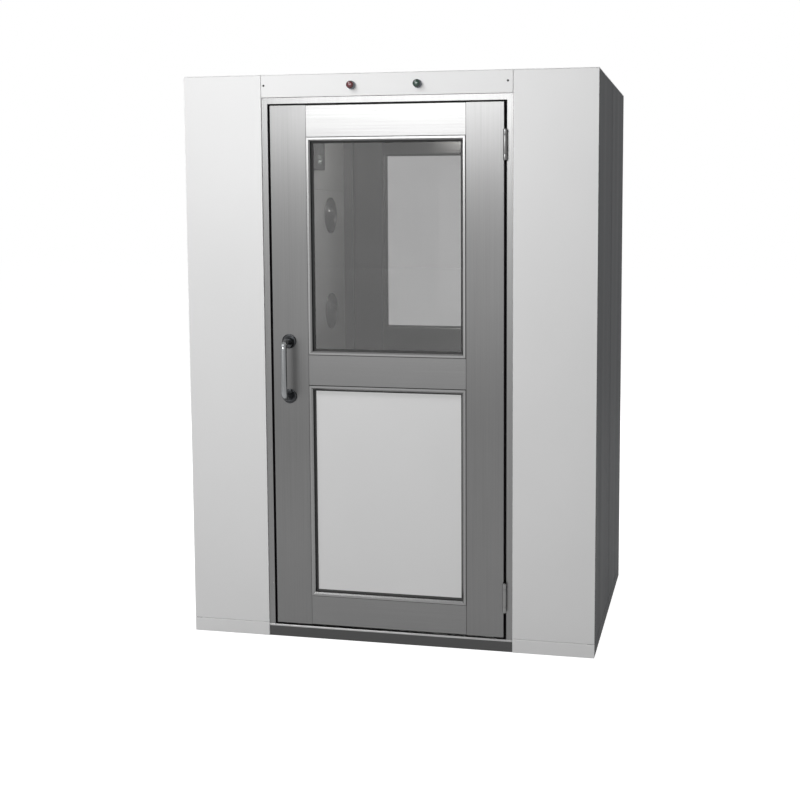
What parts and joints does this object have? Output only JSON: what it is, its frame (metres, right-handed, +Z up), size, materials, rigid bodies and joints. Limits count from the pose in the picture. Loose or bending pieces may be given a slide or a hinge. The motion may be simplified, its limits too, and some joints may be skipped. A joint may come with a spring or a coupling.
{
  "type": "walk-through cleanroom air shower",
  "caption": "Walk-through air shower cabin with a glazed hinged door at each end, side cabinets, air nozzles, return grilles, lamps and a control unit.",
  "frame": {"origin": "on the ground at the middle of the plan", "axes": "+Z up, -Y towards the front door, +X to the right seen from the front"},
  "size_m": [1.5, 1.142, 2.05],
  "materials": {
    "white_panel": "smooth powder coat",
    "side_panel": "smooth dark grey coat",
    "inner_steel": "fine brushed",
    "galvanised_sheet": "galvanised",
    "floor_steel": "fine brushed",
    "frame_steel": "brushed along its length",
    "sill_steel": "dark brushed",
    "hinge_steel": "satin",
    "handle_steel": "polished",
    "lamp_chrome": "polished",
    "nozzle_aluminium": "satin",
    "black_rubber": "matt",
    "window_glass": "clear",
    "white_board": "smooth white",
    "red_lens": "glossy",
    "green_lens": "glossy",
    "dark_plastic": "fine texture",
    "display_glass": "glossy",
    "diffuser": "opal",
    "filter_pad": "coarse felt"
  },
  "bodies": {
    "cabin": {"front_cabinet_panels": "white_panel", "rear_cabinet_panels": "white_panel", "right_side_panels": "side_panel", "left_side_panels": "side_panel", "plinth_end_faces": "white_panel", "plinth_side_faces": "side_panel", "cabinet_floors": "galvanised_sheet", "header_panels": "white_panel", "roof_panel": "side_panel", "floor_pan": "floor_steel", "ceiling_panel": "inner_steel", "ceiling_light": "diffuser", "left_nozzle_panel": "inner_steel", "right_nozzle_panel": "inner_steel", "left_plain_walls": "inner_steel", "right_plain_walls": "inner_steel", "air_nozzles": "nozzle_aluminium", "return_grilles": "inner_steel", "prefilters": "filter_pad", "front_door_frame": "frame_steel", "rear_door_frame": "frame_steel", "door_seals": "black_rubber", "door_sills": "sill_steel", "frame_hinges": "hinge_steel", "lamp_bezels": "lamp_chrome", "red_lamps": "red_lens", "green_lamps": "green_lens", "control_unit": "dark_plastic", "control_display": "display_glass"},
    "front_door": {"front_door_hinge_stile": "frame_steel", "front_door_lock_stile": "frame_steel", "front_door_rails": "frame_steel", "front_door_glazing_beads": "frame_steel", "front_door_glazing_gaskets": "black_rubber", "front_door_window_glass": "window_glass", "front_door_lower_panel": "white_board", "front_door_fittings": "handle_steel"},
    "rear_door": {"rear_door_hinge_stile": "frame_steel", "rear_door_lock_stile": "frame_steel", "rear_door_rails": "frame_steel", "rear_door_glazing_beads": "frame_steel", "rear_door_glazing_gaskets": "black_rubber", "rear_door_window_glass": "window_glass", "rear_door_lower_panel": "white_board", "rear_door_fittings": "handle_steel"}
  },
  "joints": [
    {"name": "front_door_hinge", "type": "hinge", "parent": "cabin", "child": "front_door", "pos_m": [0.43, -0.508, 1], "axis": [0, 0, 1], "range_deg": [0, 110]},
    {"name": "rear_door_hinge", "type": "hinge", "parent": "cabin", "child": "rear_door", "pos_m": [-0.43, 0.508, 1], "axis": [0, 0, 1], "range_deg": [0, 110]}
  ]
}
